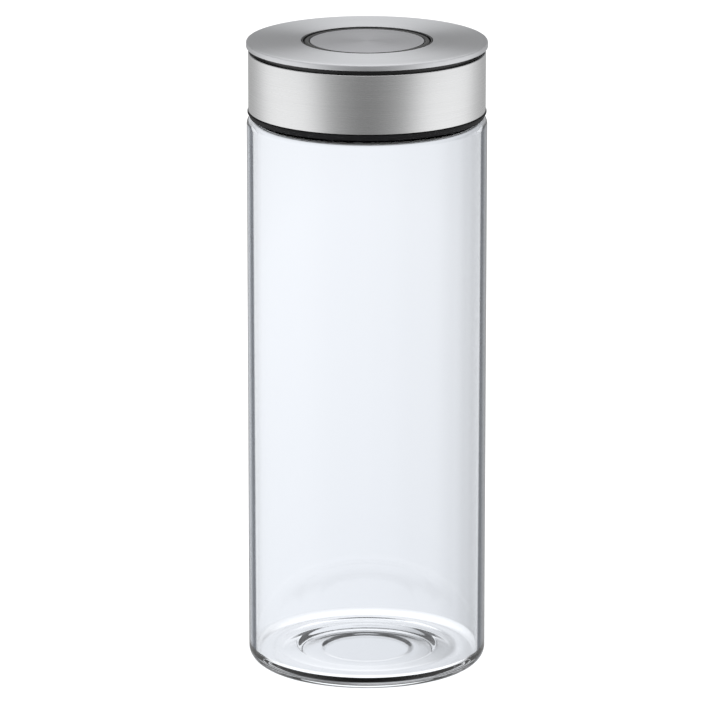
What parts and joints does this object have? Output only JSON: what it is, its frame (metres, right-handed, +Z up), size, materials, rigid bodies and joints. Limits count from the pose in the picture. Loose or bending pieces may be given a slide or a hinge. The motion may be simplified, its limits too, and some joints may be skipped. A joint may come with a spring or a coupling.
{
  "type": "lidded glass canister",
  "caption": "Tall clear glass storage canister with a flush steel lid, whose central press button works levers that squeeze a silicone seal against the neck.",
  "frame": {"origin": "centre of the ring that the jar stands on, at the level of the table", "axes": "+Z up along the canister's axis; +X to the right as the front is seen, towards the latch wire; +Y away"},
  "size_m": [0.1002, 0.1002, 0.267],
  "materials": {
    "glass": "clear pressed soda-lime glass, polished",
    "brushed_steel": "fine brushed stainless steel, circular on the lid's top, along the band on its side",
    "spring_steel": "drawn wire and turned screws, bare",
    "black_plastic": "moulded, satin black",
    "black_silicone": "moulded silicone, matt dark grey",
    "grey_plastic": "moulded acetal, mid grey",
    "clear_silicone": "moulded silicone, translucent white"
  },
  "bodies": {
    "jar": {"glass_jar": "glass"},
    "lid": {"lid_housing": "black_plastic", "lid_band": "brushed_steel", "lid_top_plate": "brushed_steel", "well_bezel": "black_plastic", "shoulder_ring": "black_silicone", "mechanism_carrier": "grey_plastic", "carrier_screw_1": "spring_steel", "carrier_screw_2": "spring_steel", "carrier_screw_3": "spring_steel", "lever_pin_1": "spring_steel", "lever_pin_2": "spring_steel", "lever_pin_3": "spring_steel", "latch_wire": "spring_steel", "button_spring": "spring_steel", "seal_gasket": "clear_silicone"},
    "button": {"button_cap": "black_plastic", "button_inlay": "brushed_steel"},
    "rocker_1": {"lever_1": "grey_plastic"},
    "rocker_2": {"lever_2": "grey_plastic"},
    "rocker_3": {"lever_3": "grey_plastic"},
    "base": {"base_plate": "black_plastic", "base_cover": "black_plastic", "lift_ring": "grey_plastic", "base_screw_1": "spring_steel", "base_screw_2": "spring_steel", "base_screw_3": "spring_steel"}
  },
  "joints": [
    {"name": "lid_lift", "type": "slide", "parent": "jar", "child": "lid", "axis": [0, 0, 1], "range_m": [0, 0.06]},
    {"name": "button_pop", "type": "slide", "parent": "lid", "child": "button", "axis": [0, 0, 1], "range_m": [0, 0.008], "deforming": ["button_spring"]},
    {"name": "seal_release", "type": "slide", "parent": "lid", "child": "base", "axis": [0, 0, -1], "range_m": [0, 0.0024], "deforming": ["seal_gasket"]},
    {"name": "rocker_tilt_1", "type": "hinge", "parent": "lid", "child": "rocker_1", "pos_m": [0, 0.025, 0.2489], "axis": [-1, 0, 0], "range_deg": [0, 22.95]},
    {"name": "rocker_tilt_2", "type": "hinge", "parent": "lid", "child": "rocker_2", "pos_m": [-0.02165, -0.0125, 0.2489], "axis": [0.5, -0.866, 0], "range_deg": [0, 22.95]},
    {"name": "rocker_tilt_3", "type": "hinge", "parent": "lid", "child": "rocker_3", "pos_m": [0.02165, -0.0125, 0.2489], "axis": [0.5, 0.866, 0], "range_deg": [0, 22.95]}
  ],
  "couplings": [
    {"joint": "seal_release", "follows": "button_pop", "ratio": 0.3},
    {"joint": "rocker_tilt_1", "follows": "button_pop", "rad_per_m": 50},
    {"joint": "rocker_tilt_2", "follows": "button_pop", "rad_per_m": 50},
    {"joint": "rocker_tilt_3", "follows": "button_pop", "rad_per_m": 50}
  ]
}
